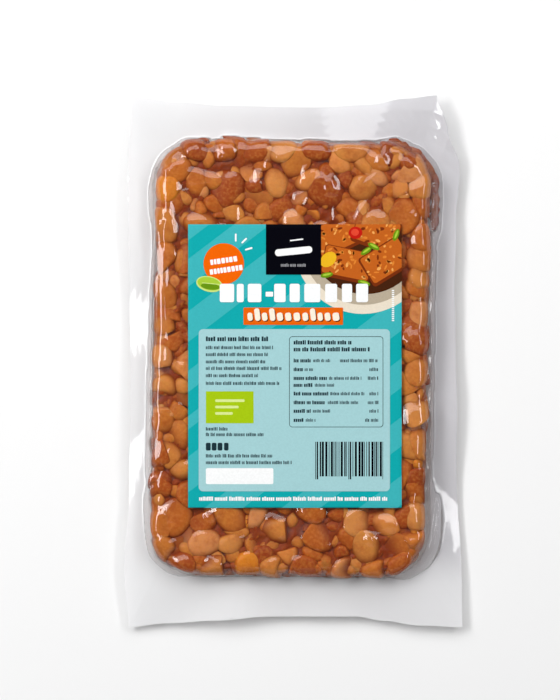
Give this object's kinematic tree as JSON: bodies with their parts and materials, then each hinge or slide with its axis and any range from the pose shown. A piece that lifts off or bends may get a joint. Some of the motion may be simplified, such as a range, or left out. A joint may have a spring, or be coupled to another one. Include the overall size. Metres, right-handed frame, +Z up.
{
  "type": "vacuum-packed tempeh cake",
  "caption": "Flat block of smoked whole and split soybeans, vacuum-sealed in a clear bag with a flat sealed margin all round and a printed label on the front, lying on its back",
  "frame": {"origin": "on the ground under the middle of the pack's bounding box, with the pack lying on its back", "axes": "+Z up, out of the labelled front; +Y along the length, towards the top of the pack; +X to the right of the label"},
  "size_m": [0.1277, 0.2004, 0.0156],
  "materials": {
    "beans": "moist smoked soybeans, tan to red-brown with darker gaps between them",
    "film": "clear glossy sealed film, slightly milky where two sheets are sealed together",
    "print": "smooth printed self-adhesive label, teal with pale panel, satin"
  },
  "bodies": {
    "root": {"tempeh_cake": "beans", "clear_bag": "film", "label": "print"}
  },
  "joints": []
}
